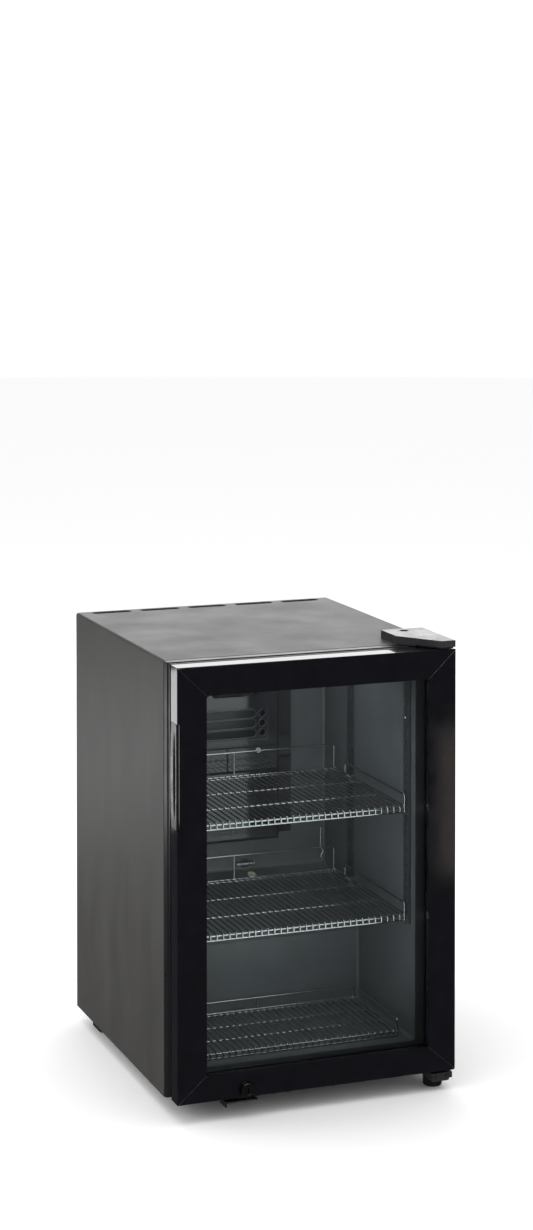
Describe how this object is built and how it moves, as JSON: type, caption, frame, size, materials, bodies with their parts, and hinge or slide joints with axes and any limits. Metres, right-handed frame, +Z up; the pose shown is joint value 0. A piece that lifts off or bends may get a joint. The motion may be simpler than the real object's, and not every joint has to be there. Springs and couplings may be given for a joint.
{
  "type": "under counter glass door fridge",
  "caption": "Compact under counter display fridge with one right-hung glass door, wire shelves, a stepped interior and a rear cooling unit.",
  "frame": {"origin": "on the floor under the middle of the overall box", "axes": "+Z up, -Y out of the front through the door, +X to the hinge side"},
  "size_m": [0.43, 0.5078, 0.6635],
  "materials": {
    "shell_paint": "satin",
    "black_paint": "satin",
    "rear_sheet": "satin",
    "foam": "matte",
    "liner_plastic": "gloss",
    "frame_plastic": "satin",
    "door_frame_gloss": "gloss",
    "cover_plastic": "satin",
    "evaporator_plastic": "gloss",
    "fin_aluminium": "satin",
    "spacer_aluminium": "satin",
    "motor_paint": "satin",
    "fan_plastic": "satin",
    "drain_plastic": "satin",
    "pan_plastic": "matte",
    "control_plastic": "satin",
    "switch_plastic": "gloss",
    "diffuser_plastic": "satin",
    "compressor_paint": "satin",
    "shelf_coating": "gloss",
    "strip_coating": "satin",
    "clip_steel": "satin",
    "probe_steel": "satin",
    "screw_steel": "satin",
    "lock_chrome": "polished",
    "glass_clear": "polished",
    "gasket_rubber": "matte",
    "handle_plastic": "satin",
    "hinge_paint": "satin",
    "foot_plastic": "matte",
    "foot_rubber": "matte",
    "gland_rubber": "matte"
  },
  "bodies": {
    "cabinet": {"outer_shell": "shell_paint", "base_plate": "black_paint", "rear_panel": "rear_sheet", "compressor_grille": "rear_sheet", "foam_insulation": "foam", "inner_liner": "liner_plastic", "face_frame": "frame_plastic", "evaporator_cover": "evaporator_plastic", "evaporator_coil": "fin_aluminium", "fan_motor": "motor_paint", "drain_tube": "drain_plastic", "probe_clip": "control_plastic", "temperature_probe": "probe_steel", "compressor": "compressor_paint", "condensate_pan": "pan_plastic", "start_relay_box": "control_plastic", "condenser_coil": "compressor_paint", "cable_gland": "gland_rubber", "thermostat_box": "control_plastic", "led_housing": "fin_aluminium", "led_diffuser": "diffuser_plastic", "top_hinge_cover": "cover_plastic", "hinge_cover_screw": "screw_steel", "top_hinge_plate": "hinge_paint", "bottom_hinge_bracket": "hinge_paint", "bottom_hinge_cover": "cover_plastic", "strike_bracket": "hinge_paint", "foot_rear_left": "foot_rubber", "foot_rear_right": "foot_rubber", "shelf_strip_left_front": "strip_coating", "upper_clip_left_front": "clip_steel", "lower_clip_left_front": "clip_steel", "shelf_strip_left_rear": "strip_coating", "upper_clip_left_rear": "clip_steel", "lower_clip_left_rear": "clip_steel", "shelf_strip_right_front": "strip_coating", "upper_clip_right_front": "clip_steel", "lower_clip_right_front": "clip_steel", "shelf_strip_right_rear": "strip_coating", "upper_clip_right_rear": "clip_steel", "lower_clip_right_rear": "clip_steel"},
    "door": {"door_handle_stile": "door_frame_gloss", "door_hinge_stile": "door_frame_gloss", "door_bottom_rail": "door_frame_gloss", "door_top_rail": "door_frame_gloss", "outer_glass": "glass_clear", "inner_glass": "glass_clear", "glass_spacer": "spacer_aluminium", "door_gasket": "gasket_rubber", "handle_insert": "handle_plastic", "lock_body": "lock_chrome"},
    "lock_plug": {"lock_plug": "lock_chrome"},
    "fan": {"fan_blades": "fan_plastic"},
    "upper_shelf": {"upper_shelf": "shelf_coating"},
    "lower_shelf": {"lower_shelf": "shelf_coating"},
    "floor_shelf": {"floor_shelf": "shelf_coating"},
    "front_right_foot": {"foot_front_right": "foot_plastic"},
    "front_left_foot": {"foot_front_left": "foot_plastic"},
    "thermostat_knob": {"thermostat_knob": "control_plastic"},
    "light_switch": {"light_switch": "switch_plastic"}
  },
  "joints": [
    {"name": "door_hinge", "type": "hinge", "parent": "cabinet", "child": "door", "pos_m": [0.2, -0.23085, 0.03], "axis": [0, 0, 1], "range_deg": [0, 110]},
    {"name": "lock_turn", "type": "hinge", "parent": "door", "child": "lock_plug", "pos_m": [-0.112, -0.24485, 0.0425], "axis": [0, 1, 0], "range_deg": [0, 90]},
    {"name": "fan_spin", "type": "hinge", "parent": "cabinet", "child": "fan", "pos_m": [0, 0.15215, 0.553], "axis": [0, 1, 0], "continuous": true},
    {"name": "upper_shelf_slide", "type": "slide", "parent": "cabinet", "child": "upper_shelf", "axis": [0, -1, 0], "range_m": [0, 0.035]},
    {"name": "lower_shelf_slide", "type": "slide", "parent": "cabinet", "child": "lower_shelf", "axis": [0, -1, 0], "range_m": [0, 0.035]},
    {"name": "floor_shelf_slide", "type": "slide", "parent": "cabinet", "child": "floor_shelf", "axis": [0, -1, 0], "range_m": [0, 0.035]},
    {"name": "front_right_foot_screw", "type": "slide", "parent": "cabinet", "child": "front_right_foot", "axis": [0, 0, -1], "range_m": [0, 0.006]},
    {"name": "front_left_foot_screw", "type": "slide", "parent": "cabinet", "child": "front_left_foot", "axis": [0, 0, -1], "range_m": [0, 0.006]},
    {"name": "thermostat_turn", "type": "hinge", "parent": "cabinet", "child": "thermostat_knob", "pos_m": [0.123, -0.13385, 0.6047], "axis": [0, -1, 0], "range_deg": [0, 270]},
    {"name": "light_switch_rock", "type": "hinge", "parent": "cabinet", "child": "light_switch", "pos_m": [0.087, -0.13085, 0.6047], "axis": [1, 0, 0], "range_deg": [0, 18]}
  ]
}
